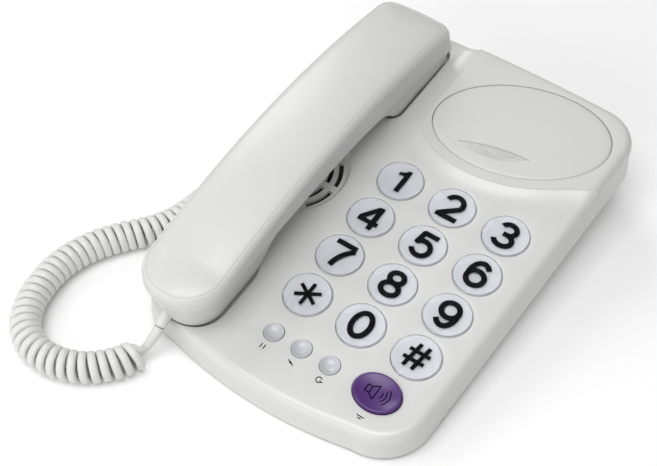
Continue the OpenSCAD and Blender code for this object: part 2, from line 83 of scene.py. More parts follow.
CORD_D, COIL_D, COIL_PITCH, TAIL_ROOT_R = 3.6, 14.5, 4.2, 2.35


def deck(x, y, z):
    """A point of the deck's frame, in millimetres, as a point of the row's frame, in metres."""
    c, s = math.cos(SLOPE), math.sin(SLOPE)
    return Vector((x, y * c - z * s + DECK_Y, DECK_H + y * s + z * c)) * MM


# ---- Camera ----


CAMERA_PLACE, CAMERA_AIM = (174.9, -339.4, 447.5), (-16.3, -26.7, 25)
CAMERA_ROLL, CAMERA_LENS = math.radians(4.12), 67.963


def make_camera():
    """The view from the right front, high above the deck."""
    cam = bpy.data.objects.new("camera", bpy.data.cameras.new("camera"))
    bpy.context.scene.collection.objects.link(cam)
    cam.location = Vector(CAMERA_PLACE) * MM
    aim = Vector(CAMERA_AIM) * MM
    level = (aim - cam.location).to_track_quat("-Z", "Y").to_matrix()
    roll = Matrix.Rotation(CAMERA_ROLL, 3, "Z")
    cam.rotation_euler = (level @ roll).to_euler()
    cam.data.sensor_width = 36
    cam.data.lens = CAMERA_LENS
    cam.data.clip_start, cam.data.clip_end = 0.01, 50
    bpy.context.scene.camera = cam


# ---- Materials ----


def new_material(name):
    """A material, its nodes and links, and its shader."""
    mat = bpy.data.materials.new(name)
    mat.use_nodes = True
    nodes = mat.node_tree.nodes
    return mat, nodes, mat.node_tree.links, nodes["Principled BSDF"]


def add_noise(nodes, links, scale, detail=3.0):
    """A noise pattern that is fixed to the object."""
    where = nodes.new("ShaderNodeTexCoord")
    noise = nodes.new("ShaderNodeTexNoise")
    noise.inputs["Scale"].default_value = scale
    noise.inputs["Detail"].default_value = detail
    links.new(where.outputs["Object"], noise.inputs["Vector"])
    return noise


def ramp_between(nodes, links, source, low, high):
    """A colour that runs from low to high over the middle of a pattern's values."""
    ramp = nodes.new("ShaderNodeValToRGB")
    ramp.color_ramp.elements[0].position = 0.3
    ramp.color_ramp.elements[1].position = 0.7
    ramp.color_ramp.elements[0].color = (*low, 1)
    ramp.color_ramp.elements[1].color = (*high, 1)
    links.new(source, ramp.inputs["Fac"])
    return ramp.outputs["Color"]


def link_gloss(nodes, links, pattern, low, high, shader):
    """Roughness that follows a pattern between two values."""
    gloss = nodes.new("ShaderNodeMapRange")
    gloss.inputs["To Min"].default_value = low
    gloss.inputs["To Max"].default_value = high
    links.new(pattern, gloss.inputs["Value"])
    links.new(gloss.outputs["Result"], shader.inputs["Roughness"])


def moulded(name, colour, rough, bump=0.015, grain=1400, spread=0.015, coat=0.0, metallic=0.0,
            specular=0.5, transmission=0.0):
    """Moulded or cast stuff: slight cloudiness of colour and gloss, and a fine orange peel."""
    mat, nodes, links, shader = new_material(name)
    cloud = add_noise(nodes, links, 22).outputs["Fac"]
    low = [max(c * (1 - spread), 0) for c in colour]
    high = [min(c * (1 + spread), 1) for c in colour]
    links.new(ramp_between(nodes, links, cloud, low, high), shader.inputs["Base Color"])
    patch = add_noise(nodes, links, 60, 5).outputs["Fac"]
    link_gloss(nodes, links, patch, rough * 0.9, rough * 1.1, shader)
    peel = add_noise(nodes, links, grain, 2).outputs["Fac"]
    relief = nodes.new("ShaderNodeBump")
    relief.inputs["Strength"].default_value = bump
    relief.inputs["Distance"].default_value = 0.0004
    links.new(peel, relief.inputs["Height"])
    links.new(relief.outputs["Normal"], shader.inputs["Normal"])
    shader.inputs["Metallic"].default_value = metallic
    shader.inputs["Coat Weight"].default_value = coat
    shader.inputs["Coat Roughness"].default_value = 0.12
    shader.inputs["Specular IOR Level"].default_value = specular
    shader.inputs["Transmission Weight"].default_value = transmission
    return mat


def clear(name, colour, rough=0.03):
    """Clear polished plastic with a faint cloudiness in its gloss; lamps shine through it."""
    mat, nodes, links, shader = new_material(name)
    shader.inputs["Base Color"].default_value = (*colour, 1)
    shader.inputs["Transmission Weight"].default_value = 1.0
    shader.inputs["IOR"].default_value = 1.16
    patch = add_noise(nodes, links, 90, 4).outputs["Fac"]
    link_gloss(nodes, links, patch, rough * 0.6, rough * 1.6, shader)
    through = nodes.new("ShaderNodeBsdfTransparent")
    ray = nodes.new("ShaderNodeLightPath")
    mix = nodes.new("ShaderNodeMixShader")
    links.new(ray.outputs["Is Shadow Ray"], mix.inputs["Fac"])
    links.new(shader.outputs["BSDF"], mix.inputs[1])
    links.new(through.outputs["BSDF"], mix.inputs[2])
    links.new(mix.outputs["Shader"], nodes["Material Output"].inputs["Surface"])
    return mat


def brushed(name, colour, rough):
    """Rolled metal with fine streaks along X."""
    mat, nodes, links, shader = new_material(name)
    shader.inputs["Metallic"].default_value = 1.0
    where = nodes.new("ShaderNodeTexCoord")
    stretch = nodes.new("ShaderNodeMapping")
    stretch.inputs["Scale"].default_value = (30, 900, 900)
    streak = nodes.new("ShaderNodeTexNoise")
    streak.inputs["Scale"].default_value = 1.0
    links.new(where.outputs["Object"], stretch.inputs["Vector"])
    links.new(stretch.outputs["Vector"], streak.inputs["Vector"])
    low = [c * 0.85 for c in colour]
    tone = ramp_between(nodes, links, streak.outputs["Fac"], low, colour)
    links.new(tone, shader.inputs["Base Color"])
    link_gloss(nodes, links, streak.outputs["Fac"], rough * 0.8, rough * 1.3, shader)
    return mat


MATERIALS = {
    "shell_plastic": moulded("shell", (0.61, 0.61, 0.60), 0.34, coat=0.25),
    "handset_plastic": moulded("handset_shell", (0.60, 0.60, 0.59), 0.38, coat=0.12),
    "panel_plastic": moulded("panel", (0.60, 0.60, 0.59), 0.38),
    "clear_plastic": clear("clear", (0.97, 0.98, 1.0)),
    "insert_plastic": moulded("key_insert", (0.36, 0.362, 0.375), 0.5, spread=0.02, specular=0.2),
    "pearl_plastic": moulded("pearl", (0.50, 0.505, 0.535), 0.3, coat=0.3),
    "purple_plastic": moulded("purple", (0.07, 0.02, 0.15), 0.36, coat=0.1, spread=0.05),
    "red_lamp": moulded("lamp_red", (0.7, 0.08, 0.05), 0.15, coat=0.5),
    "grey_rubber": moulded("rubber_grey", (0.19, 0.20, 0.23), 0.7, bump=0.05),
    "black_rubber": moulded("rubber_black", (0.025, 0.025, 0.025), 0.75, bump=0.1, grain=900),
    "black_plastic": moulded("plastic_black", (0.02, 0.02, 0.022), 0.45, bump=0.05),
    "board_brown": moulded("board", (0.24, 0.14, 0.05), 0.6, bump=0.08, spread=0.15),
    "dark_metal": moulded("metal_dark", (0.07, 0.07, 0.08), 0.4, metallic=0.8),
    "speaker_paper": moulded("paper_dark", (0.03, 0.028, 0.026), 0.85, bump=0.3, grain=500),
    "plain_steel": brushed("steel", (0.55, 0.55, 0.56), 0.32),
    "cord_vinyl": moulded("vinyl", (0.66, 0.66, 0.65), 0.38, bump=0.03),
}
FROSTED = moulded("frosted", (0.74, 0.74, 0.73), 0.16, coat=0.5, spread=0.03, transmission=0.35)
PRINT = moulded("print_black", (0.004, 0.004, 0.005), 0.6, specular=0)


def dress_cad_nodes():
    """Gives each CAD node its slot's material."""
    slots = {part["node"]: part["material_slot"] for part in frame["record"]["subparts"]}
    for node, obj in frame["nodes"].items():
        obj.data.materials.clear()
        obj.data.materials.append(MATERIALS[slots[node]])


# ---- Mesh helpers ----


def add_piece(name, points, faces, body, slot, material=None, smooth=35, nodes=()):
    """A mesh piece from points in the row's frame, in metres, riding on a body if one is named."""
    mesh = bpy.data.meshes.new(name)
    mesh.from_pydata([tuple(p) for p in points], [], [tuple(f) for f in faces])
    mesh.validate()
    build = bmesh.new()
    build.from_mesh(mesh)
    bmesh.ops.remove_doubles(build, verts=build.verts, dist=1e-7)
    bmesh.ops.recalc_face_normals(build, faces=build.faces)
    limit = math.radians(smooth)
    for face in build.faces:
        face.smooth = True
    for edge in build.edges:
        edge.smooth = not (len(edge.link_faces) == 2 and edge.calc_face_angle() > limit)
    build.to_mesh(mesh)
    build.free()
    mesh.materials.append(material or MATERIALS[slot])
    obj = bpy.data.objects.new(name, mesh)
    bpy.context.scene.collection.objects.link(obj)
    if body:
        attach(obj, body)
    if nodes:
        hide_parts(*nodes)
    return obj


def join(points, faces, more, skins):
    """Adds a second skin's points and faces to the first's."""
    start = len(points)
    points.extend(more)
    faces.extend(tuple(start + i for i in f) for f in skins)


def ring_faces(rings, sides):
    """Quads between each ring of points and the next."""
    faces = []
    for level in range(rings - 1):
        for k in range(sides):
            a, b = level * sides + k, level * sides + (k + 1) % sides
            faces.append((a, b, b + sides, a + sides))
    return faces


def loft(rings, closed=True):
    """Points and faces of a skin through rings of equal length; closed adds both ends' caps.
    A ring runs up its right half and back down its left, so that a cap is a strip of quads."""
    n = len(rings[0])
    points = [p for ring in rings for p in ring]
    faces = ring_faces(len(rings), n)
    if closed:
        for start in (0, (len(rings) - 1) * n):
            for i in range(n // 2 - 1):
                quad = (start + i, start + i + 1, start + n - 2 - i, start + n - 1 - i)
                faces.append(quad)
    return points, faces


def lathe(profile, centre, sides=72, squash=(1, 1)):
    """A turned skin, from (radius, z) pairs that start and end on the axis, as points and faces."""
    points = []
    for radius, z in profile[1:-1]:
        for k in range(sides):
            a = math.tau * k / sides
            x = centre[0] + radius * squash[0] * math.cos(a)
            y = centre[1] + radius * squash[1] * math.sin(a)
            points.append(deck(x, y, z))
    rings = len(profile) - 2
    faces = ring_faces(rings, sides)
    for level, (_, z) in ((0, profile[0]), (rings - 1, profile[-1])):
        points.append(deck(centre[0], centre[1], z))
        tip = len(points) - 1
        faces += [(level * sides + k, level * sides + (k + 1) % sides, tip) for k in range(sides)]
    return points, faces


def arc(centre, radius, start, end, steps):
    """Points along a circle's arc, by angle in degrees."""
    turns = [math.radians(start + (end - start) * i / steps) for i in range(steps + 1)]
    return [(centre[0] + radius * math.cos(a), centre[1] + radius * math.sin(a)) for a in turns]


def ring_of(centre, radius, steps):
    """A whole circle's points, without the first again at the end."""
    return arc(centre, radius, 0, 360, steps)[:-1]


def mirrored(half, middle=0):
    """A whole outline from its right half, which runs from the front's middle to the back's."""
    right = [(middle + x, y) for x, y in half]
    return right + [(middle - x, y) for x, y in reversed(half)]


def ellipse(size, centre, turn=0, steps=96):
    """A whole ellipse's points; size is its half axes and turn its slant in degrees."""
    out = []
    c, s = math.cos(math.radians(turn)), math.sin(math.radians(turn))
    for k in range(steps):
        a = math.tau * k / steps
        x, y = size[0] * math.cos(a), size[1] * math.sin(a)
        out.append((centre[0] + x * c - y * s, centre[1] + x * s + y * c))
    return out


def rounded_box(box, r):
    """A rectangle's outline with round corners; box is its least and most x, then y."""
    x0, x1, y0, y1 = box
    corners = ((x1 - r, y0 + r, -90), (x1 - r, y1 - r, 0), (x0 + r, y1 - r, 90), (x0 + r, y0 + r, 180))
    out = []
    for cx, cy, start in corners:
        out += arc((cx, cy), r, start, start + 90, 10)
    return out


# ---- Cord ----

TAIL_ROUTE = [(-48, -107.6, 16.5), (-48.3, -109.6, 14.4), (-48.8, -111.9, 12), (-49.4, -114, 9.8),
              (-50.1, -115.9, 8), (-50.6, -117.1, 7.4), (-51, -118.4, 7.4)]
COIL_ROUTE = [(-51, -118.4, 7.4), (-52.8, -124.2, 7.4), (-57, -131, 7.4), (-65, -138.5, 7.4),
              (-75.5, -143, 7.4), (-87, -143.5, 7.4), (-98, -138.5, 7.4), (-106, -128, 7.4),
              (-110, -114, 7.4), (-110.5, -100, 7.4), (-106.8, -86, 7.4), (-99.8, -73.5, 7.4),
              (-91.8, -62.5, 7.4), (-85.8, -49.5, 7.4), (-83.3, -33, 7.4), (-82.5, -16, 7.4)]
LEAD_ROUTE = [(-82.5, -16, 7.4), (-82.5, -12, 6.8), (-82.6, -7, 4.4), (-82.8, -2, 2.4), (-83, 4, 1.9),
              (-83.6, 11, 1.9), (-84.5, 17, 2.1), (-85.6, 23, 3.6), (-86.7, 28.5, 6.6), (-87.6, 33, 10.6),
              (-88.3, 36.4, 15), (-88.2, 38, 19), (-86.8, 38.5, 22.3), (-84.3, 38.5, 24.4),
              (-81, 38.4, 24.9)]


def curve_through(points, step):
    """Points a step apart on a smooth curve through a route's points."""
    pts = [Vector(p) for p in points]
    pts = [2 * pts[0] - pts[1], *pts, 2 * pts[-1] - pts[-2]]
    dense = []
    for a, b, c, d in zip(pts, pts[1:], pts[2:], pts[3:]):
        count = 24
        for i in range(count):
            t = i / count
            dense.append(0.5 * (2 * b + (c - a) * t + (2 * a - 5 * b + 4 * c - d) * t**2
                                + (3 * b - a - 3 * c + d) * t**3))
    dense.append(pts[-2])
    lengths = np.cumsum([0] + [(q - p).length for p, q in zip(dense, dense[1:])])
    wanted = np.linspace(0, lengths[-1], max(2, round(lengths[-1] / step)) + 1)
    xyz = np.array([tuple(p) for p in dense])
    return [Vector([np.interp(s, lengths, xyz[:, k]) for k in range(3)]) for s in wanted]


def helix_along(route, radius, pitch, steps_a_turn=18):
    """A helix round a route, with the route's direction and the helix's share of its radius at
    each point. It leaves the route's first point and comes back to its last."""
    spine = curve_through(route, pitch / steps_a_turn)
    turns = round((len(spine) - 1) / steps_a_turn)
    points, axes, shares = [], [], []
    for i, p in enumerate(spine):
        ahead = (spine[min(i + 1, len(spine) - 1)] - spine[max(i - 1, 0)]).normalized()
        side = ahead.cross(Vector((0, 0, 1))).normalized()
        up = side.cross(ahead)
        turn = math.tau * turns * i / (len(spine) - 1)
        t = min(1, min(i, len(spine) - 1 - i) / (0.4 * steps_a_turn))
        share = t * t * (3 - 2 * t)
        points.append(p + (up * math.cos(turn) + side * math.sin(turn)) * radius * share)
        axes.append(ahead)
        shares.append(share)
    return points, axes, shares


def tube(points, radii, axes, shares, sides=12):
    """Rings of a tube along points, and its two caps. Where a share is 1 the section is flattened,
    with its wide side along the axis there; where it's 0 the section is round and doesn't twist."""
    ahead = [(b - a).normalized() for a, b in zip(points, points[1:])]
    ahead = [ahead[0]] + [(a + b).normalized() for a, b in zip(ahead, ahead[1:])] + [ahead[-1]]
    across = ahead[0].orthogonal().normalized()
    verts = []
    for p, d, radius, axis, share in zip(points, ahead, radii, axes, shares):
        across = across - d * across.dot(d)
        wide = axis - d * axis.dot(d)
        across = (across.normalized() * (1 - share) + wide * share).normalized()
        other = d.cross(across)
        power = 1 - 0.3 * share
        for k in range(sides):
            c, s = math.cos(math.tau * k / sides), math.sin(math.tau * k / sides)
            u = math.copysign(abs(c) ** power, c) * radius * (1 + 0.02 * share)
            v = math.copysign(abs(s) ** power, s) * radius * (1 - 0.06 * share)
            verts.append((p + across * u + other * v) * MM)
    faces = ring_faces(len(points), sides)
    faces.append(tuple(range(sides)))
    faces.append(tuple((len(points) - 1) * sides + k for k in range(sides)))
    return verts, faces


def make_cord():
    """The handset's cord: a smooth tail that tapers out of its relief, the coil, and the lead."""
    coil, axes, shares = helix_along(COIL_ROUTE, (COIL_D - CORD_D) / 2, COIL_PITCH)
    tail, lead = curve_through(TAIL_ROUTE, 1.2)[:-1], curve_through(LEAD_ROUTE, 1.5)[1:]
    path = tail + coil + lead
    straight = Vector((0, 0, 1))
    axes = [straight] * len(tail) + axes + [straight] * len(lead)
    shares = [0] * len(tail) + shares + [0] * len(lead)
    swollen = CORD_D / 2 + 0.15
    radii = list(np.linspace(TAIL_ROOT_R, swollen, len(tail)))
    radii += list(np.linspace(swollen, CORD_D / 2, 12))
    radii += [CORD_D / 2] * (len(path) - len(radii))
    points, faces = tube(path, radii, axes, shares)
    cord = add_piece("handset_cord", points, faces, None, "cord_vinyl", smooth=60,
                     nodes=("cord_tail", "cord_coil", "cord_lead"))
    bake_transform(cord)


# ---- Top cover ----


FRONT_W, BACK_W = 70.5, 75.5
FRONT_CORNER, BACK_CORNER = 23, 20
FRONT_BOW, BACK_BOW = 5.6, 1.7


def body_half(inset):
    """The body's right half outline, drawn in by inset."""
    wf, wb = FRONT_W - inset, BACK_W - inset
    yf, yb = -BODY_L / 2 + inset, BODY_L / 2 - inset
    rf, rb = max(FRONT_CORNER - inset, 1), max(BACK_CORNER - inset, 1)
    front = [(t * (wf - rf), yf - FRONT_BOW * (1 - t * t)) for t in np.linspace(0.04, 0.96, 12)]
    back = [(t * (wb - rb), yb + BACK_BOW * (1 - t * t)) for t in np.linspace(0.96, 0.04, 12)]
    a, b = (wf, yf + rf), (wb, yb - rb)
    side = [(a[0] + (b[0] - a[0]) * t, a[1] + (b[1] - a[1]) * t) for t in np.linspace(0, 1, 15)[1:-1]]
    return (front + arc((wf - rf, yf + rf), rf, -90, 0, 12) + side
            + arc((wb - rb, yb - rb), rb, 0, 90, 12) + back)


TERRACE_LEFT, TERRACE_SIZE = -15.5, (48.5, 33.5)
TERRACE_END = (90, 66)


def terrace_line(away):
    """The terrace's front and left edge, offset outwards: from the back edge round to the right.
    It follows an ellipse round the oval plate, and both ends run on past the body."""
    turn = math.radians(OVAL_TURN)
    line = [(TERRACE_LEFT, y) for y in np.linspace(125, 58, 12)]
    for a in np.linspace(190, 300, 40):
        x = TERRACE_SIZE[0] * math.cos(math.radians(a))
        y = TERRACE_SIZE[1] * math.sin(math.radians(a))
        line.append((OVAL_C[0] + x * math.cos(turn) - y * math.sin(turn),
                     OVAL_C[1] + x * math.sin(turn) + y * math.cos(turn)))
    x0, y0 = line[-1]
    line += [(x, y0 + (TERRACE_END[1] - y0) * (x - x0) / (TERRACE_END[0] - x0))
             for x in np.linspace(x0, TERRACE_END[0], 10)[1:]]
    smooth = np.array(line)
    for _ in range(6):
        smooth[1:-1] = smooth[1:-1] * 0.5 + (smooth[:-2] + smooth[2:]) * 0.25
    ahead = np.gradient(smooth, axis=0)
    ahead /= np.linalg.norm(ahead, axis=1)[:, None]
    return smooth + np.stack([ahead[:, 1], -ahead[:, 0]], axis=1) * away


def distance_to(points, line, closed):
    """Distance from each point to a polyline, and the sign of the side it is on."""
    a = np.asarray(line)
    b = np.roll(a, -1, axis=0) if closed else a[1:]
    a = a if closed else a[:-1]
    best, sign = np.full(len(points), 1e9), np.ones(len(points))
    for p, q in zip(a, b):
        d = q - p
        t = np.clip(((points - p) @ d) / (d @ d), 0, 1)
        away = points - (p + t[:, None] * d)
        dist = np.hypot(away[:, 0], away[:, 1])
        cross = d[0] * (points[:, 1] - p[1]) - d[1] * (points[:, 0] - p[0])
        closer = dist < best - 1e-9
        best[closer] = dist[closer]
        sign[closer] = np.sign(cross[closer])
    return best, sign


RAMP_W = 8.0
LIP_W, LIP_D = 0.15, 0.4


def quarter(drop, radius):
    """How far a rounded edge has fallen at a distance from it, for distances below its radius."""
    x = np.clip(radius - drop, 0, radius)
    return radius - np.sqrt(np.maximum(radius**2 - x**2, 0))


class Hole:
    """A hole or recess in the cover: its outline, its floor's height and its edge's radius."""

    def __init__(self, outline, floor, round_r=0.5):
        self.outline = outline
        self.floor = floor
        self.round_r = round_r


def key_places():
    """The keys' centres, row by row from the back."""
    return [(KEYPAD[0] + KEY_PITCH[0] * (k % 3 - 1), KEYPAD[1] + KEY_PITCH[1] * (1.5 - k // 3))
            for k in range(12)]


def offset(loop, by):
    """A closed anticlockwise loop, moved outwards."""
    p = np.asarray(loop, float)
    ahead = np.roll(p, -1, axis=0) - np.roll(p, 1, axis=0)
    ahead /= np.linalg.norm(ahead, axis=1)[:, None]
    return p + np.stack([ahead[:, 1], -ahead[:, 0]], axis=1) * by


OVAL_HOLE = len(KEY_NAMES) + len(SMALL_BUTTONS) + 1
OVAL_FLOOR = 1


def cover_holes():
    """The keys' holes, the small buttons', the oval button's, the oval plate's and the cradle's."""
    holes = [Hole(ring_of(c, KEY_R + 0.2, 72), -3.3) for c in key_places()]
    for x in SMALL_BUTTONS.values():
        holes.append(Hole(ring_of((x, BUTTON_ROW_Y), SMALL_R + 0.15, 48), -3.1, 0.7))
    button = (SPEAKER_SIZE[0] + 0.3, SPEAKER_SIZE[1] + 0.3)
    holes.append(Hole(ellipse(button, (SPEAKER_X, BUTTON_ROW_Y)), -3.1, 0.6))
    plate = (OVAL_SIZE[0] + 0.12, OVAL_SIZE[1] + 0.12)
    holes.append(Hole(ellipse(plate, OVAL_C, OVAL_TURN, 144), OVAL_FLOOR, 0.3))
    holes.append(Hole(rounded_box(EAR_POCKET, EAR_POCKET_R), EAR_POCKET_Z, 1.2))
    holes.append(Hole(rounded_box(MOUTH_POCKET, MOUTH_POCKET_R), MOUTH_POCKET_Z, 0.8))
    return holes


def grille_outline(radius):
    """The grille's round recess, cut off straight short of the body's left edge."""
    reach = math.degrees(math.acos((GRILLE_LEFT - GRILLE_C[0]) / radius)) if radius > 14 else 180
    return arc(GRILLE_C, radius, -reach, reach, 64)


def grille_slots():
    """The grille's arcs, eight in each ring, apart from those that its left edge cuts."""
    slots = []
    for r in SLOT_RADII:
        for k in range(8):
            start, end = 45 * k + 100 / r, 45 * k + 45 - 100 / r
            outer = arc(GRILLE_C, r + SLOT_W / 2, start, end, 10)
            inner = arc(GRILLE_C, r - SLOT_W / 2, end, start, 10)
            if min(x for x, _ in outer + inner) > GRILLE_LEFT + 1:
                slots.append(outer + inner)
    return slots


def flat_mesh(loops, keep):
    """A triangulated plane through closed and open lines; keep says which triangles stay."""
    verts, edges = [], []
    for loop, closed in loops:
        start = len(verts)
        verts += [Vector((float(x), float(y))) for x, y in loop]
        count = len(loop)
        last = count if closed else count - 1
        edges += [(start + i, start + (i + 1) % count) for i in range(last)]
    out, _, faces, *_ = delaunay_2d_cdt(verts, edges, [], 0, 1e-5)
    flat = np.array([tuple(v) for v in out])
    faces = [f for f in faces if len(f) == 3]
    middle = np.array([flat[list(f)].mean(axis=0) for f in faces])
    kept = [f for f, stay in zip(faces, keep(middle)) if stay]
    used = sorted({i for f in kept for i in f})
    place = {old: new for new, old in enumerate(used)}
    return flat[used], [tuple(place[i] for i in f) for f in kept]


def inside(points, loop, cuts=()):
    """Which points are inside a closed loop and in none of the cuts."""
    poly = np.asarray(loop)
    hit = np.zeros(len(points), bool)
    for p, q in zip(poly, np.roll(poly, -1, axis=0)):
        crosses = (p[1] > points[:, 1]) != (q[1] > points[:, 1])
        with np.errstate(divide="ignore", invalid="ignore"):
            x = (q[0] - p[0]) * (points[:, 1] - p[1]) / (q[1] - p[1]) + p[0]
        hit ^= crosses & (points[:, 0] < x)
    for cut in cuts:
        hit &= ~inside(points, cut)
    return hit


def surface_height(flat, outline, holes, line):
    """Height of the cover at points: terrace and ramp, the rounded rim, and the holes' soft edges."""
    dist, sign = distance_to(flat, line, False)
    beyond = np.maximum(dist * -sign, 0)
    slope = 1 - (1 - np.clip(beyond / RAMP_W, 0, 1)) ** 1.6
    z = TERRACE_H - LIP_D * np.clip(beyond / LIP_W, 0, 1) - (TERRACE_H - LIP_D) * slope
    rim, _ = distance_to(flat, outline, True)
    z = z - quarter(rim, EDGE_R)
    for hole in holes:
        near, _ = distance_to(flat, hole.outline, True)
        z = z - quarter(near, hole.round_r)
    return z


def make_top_cover():
    """The top cover as one skin: its face, the holes' walls and floors, and its sides."""
    outline = mirrored(body_half(0))
    line = terrace_line(0)
    holes = cover_holes()
    recess = grille_outline(GRILLE_R)
    loops = [(mirrored(body_half(EDGE_R * (1 - math.cos(math.radians(a))))), True)
             for a in (0, 12, 24, 36, 48, 60, 75, 90)]
    down_the_ramp = (-0.04, 0, LIP_W / RAMP_W, 0.09, 0.16, 0.26, 0.38, 0.52, 0.68, 0.84, 1, 1.15)
    loops += [(terrace_line(RAMP_W * t), False) for t in down_the_ramp]
    for hole in holes:
        loops += [(offset(hole.outline, hole.round_r * t), True) for t in (0, 0.08, 0.3, 0.6, 1)]
    loops.append((recess, True))

    cuts = [recess] + [hole.outline for hole in holes]
    flat, faces = flat_mesh(loops, lambda middle: inside(middle, outline, cuts))
    z = surface_height(flat, outline, holes, line)
    points = [deck(x, y, h) for (x, y), h in zip(flat, z)]

    def add_wall(loop, top, bottom, inset=0.0):
        """A wall from the sheet's edge down to a height."""
        low = offset(loop, -inset) if inset else np.asarray(loop)
        upper = [deck(x, y, h) for (x, y), h in zip(loop, top)]
        lower = [deck(x, y, bottom) for x, y in low]
        join(points, faces, upper + lower, ring_faces(2, len(loop)))

    def add_floor(loop, height, openings=()):
        """A flat floor inside a loop, with openings in it."""
        around = [(loop, True)] + [(opening, True) for opening in openings]
        plane, tris = flat_mesh(around, lambda middle: inside(middle, loop, openings))
        join(points, faces, [deck(x, y, height) for x, y in plane], tris)

    for hole in holes:
        ring = np.asarray(hole.outline)
        add_wall(ring, surface_height(ring, outline, holes, line), hole.floor)
    hook = ring_of(HOOK_C, HOOK_R, 32)
    add_floor(rounded_box(EAR_POCKET, EAR_POCKET_R), EAR_POCKET_Z, [hook])
    add_wall(hook, [EAR_POCKET_Z] * len(hook), EAR_POCKET_Z - 2)
    add_floor(rounded_box(MOUTH_POCKET, MOUTH_POCKET_R), MOUTH_POCKET_Z)
    add_floor(holes[OVAL_HOLE].outline, OVAL_FLOOR, [ring_of(LENS_C, LAMP_HOLE_R, 32)])
    add_wall(recess, [0] * len(recess), GRILLE_Z, inset=GRILLE_BEVEL)
    slots = grille_slots()
    add_floor([tuple(p) for p in offset(recess, -GRILLE_BEVEL)], GRILLE_Z, slots)
    for slot in slots:
        add_wall(slot, [GRILLE_Z] * len(slot), GRILLE_Z - 2)

    def at(height):
        return lambda loop: [height] * len(loop)

    def lower_edge(loop):
        return [-SKIRT_H - SKIRT_DROP * (y / BODY_L + 0.5) for _, y in loop]

    def top_edge(loop):
        return surface_height(loop, outline, [], line)

    side_rings = [(0, top_edge), (0, at(-EDGE_R - 3)), (-SKIRT_FLARE, lower_edge), (WALL, lower_edge),
                  (WALL, at(-WALL - 1))]
    rings = []
    for inset, height in side_rings:
        loop = np.array(mirrored(body_half(inset)))
        top = height(loop)
        rings.append([deck(x, y, h) for (x, y), h in zip(loop, top)])
    join(points, faces, *loft(rings, closed=False))
    add_piece("base_cover", points, faces, "base", "shell_plastic", smooth=38, nodes=("top_cover",))


# ---- Panel, lens ----


def make_oval_panel():
    """The oval's plate: a very slight crown, a rounded edge, and the lens's slot."""
    outline = ellipse(OVAL_SIZE, OVAL_C, OVAL_TURN, 144)
    slot = lens_outline(0.15)

    def plate_z(xy):
        rim, _ = distance_to(xy, outline, True)
        return TERRACE_H + 0.15 - quarter(rim, 1.4) + 0.5 * np.clip(rim / 28, 0, 1) ** 0.8

    loops = [(ellipse((OVAL_SIZE[0] - d, OVAL_SIZE[1] - d), OVAL_C, OVAL_TURN, 144), True)
             for d in (0, 0.1, 0.35, 0.8, 1.4, 4, 9, 16, 24)]
    loops.append((slot, True))
    flat, faces = flat_mesh(loops, lambda m: inside(m, outline) & ~inside(m, slot))
    points = [deck(x, y, h) for (x, y), h in zip(flat, plate_z(flat))]
    for loop in (outline, slot):
        ring = np.asarray(loop)
        upper = [deck(x, y, h) for (x, y), h in zip(ring, plate_z(ring))]
        lower = [deck(x, y, OVAL_FLOOR + 0.05) for x, y in ring]
        join(points, faces, upper + lower, ring_faces(2, len(ring)))
    add_piece("oval_plate", points, faces, "base", "panel_plastic", nodes=("oval_panel",))


def lens_outline(grow, steps=20):
    """The crescent: a deep bulge towards the keys and a shallow one away from them."""
    c, s = math.cos(math.radians(LENS_TURN)), math.sin(math.radians(LENS_TURN))
    half = LENS_L / 2 + grow
    out = []
    for sag, ways in ((-LENS_NEAR - grow, (-1, 1)), (LENS_FAR + grow, (1, -1))):
        for i in range(steps):
            t = ways[0] + (ways[1] - ways[0]) * i / steps
            x, y = t * half, sag * (1 - t * t)
            out.append((LENS_C[0] + x * c - y * s, LENS_C[1] + x * s + y * c))
    return out


def make_lens():
    """Frosted crescent: a smooth bar along its far edge, and fine ribs across the rest."""
    ribs, across, bar_edge = 30, 12, 0.62
    columns = ribs * 4
    c, s = math.cos(math.radians(LENS_TURN)), math.sin(math.radians(LENS_TURN))

    def place(x, y, z):
        return deck(LENS_C[0] + x * c - y * s, LENS_C[1] + x * s + y * c, z)

    def height(t, v):
        """Height at a share t along it, -1 to 1, and v across it, from the near edge to the far."""
        body = 0.9 * math.sin(math.pi * min(v / bar_edge, 1) * 0.5) * (1 - t * t) ** 0.5
        rib = 0.22 * abs(math.sin(math.pi * ribs * (t + 1) / 2)) if 0.08 < v < 0.6 else 0
        across_bar = (v - bar_edge) / (1 - bar_edge)
        bar = 0.45 * math.sin(math.pi * across_bar) * (1 - t * t) if v > bar_edge else 0
        return TERRACE_H - 0.15 + body + rib + bar

    points, faces = [], []
    for bottom in (False, True):
        for i in range(columns + 1):
            t = -0.985 + 1.97 * i / columns
            low, high = -LENS_NEAR * (1 - t * t), LENS_FAR * (1 - t * t)
            for j in range(across + 1):
                v = j / across
                edge = bottom or j in (0, across) or i in (0, columns)
                z = 1.4 if bottom else TERRACE_H + 0.1 if edge else height(t, v)
                points.append(place(t * LENS_L / 2, low + (high - low) * v, z))
    row = across + 1
    layer = (columns + 1) * row
    for i in range(columns):
        for j in range(across):
            a = i * row + j
            faces.append((a, a + 1, a + 1 + row, a + row))
            faces.append((layer + a, layer + a + row, layer + a + 1 + row, layer + a + 1))
        for j in (0, across):
            a = i * row + j
            faces.append((a, a + row, a + row + layer, a + layer))
    for i in (0, columns):
        for j in range(across):
            a = i * row + j
            faces.append((a, a + 1, a + 1 + layer, a + layer))
    add_piece("ringer_window", points, faces, "base", "clear_plastic", material=FROSTED, smooth=25,
              nodes=("ringer_lens",))


# ---- Keys ----

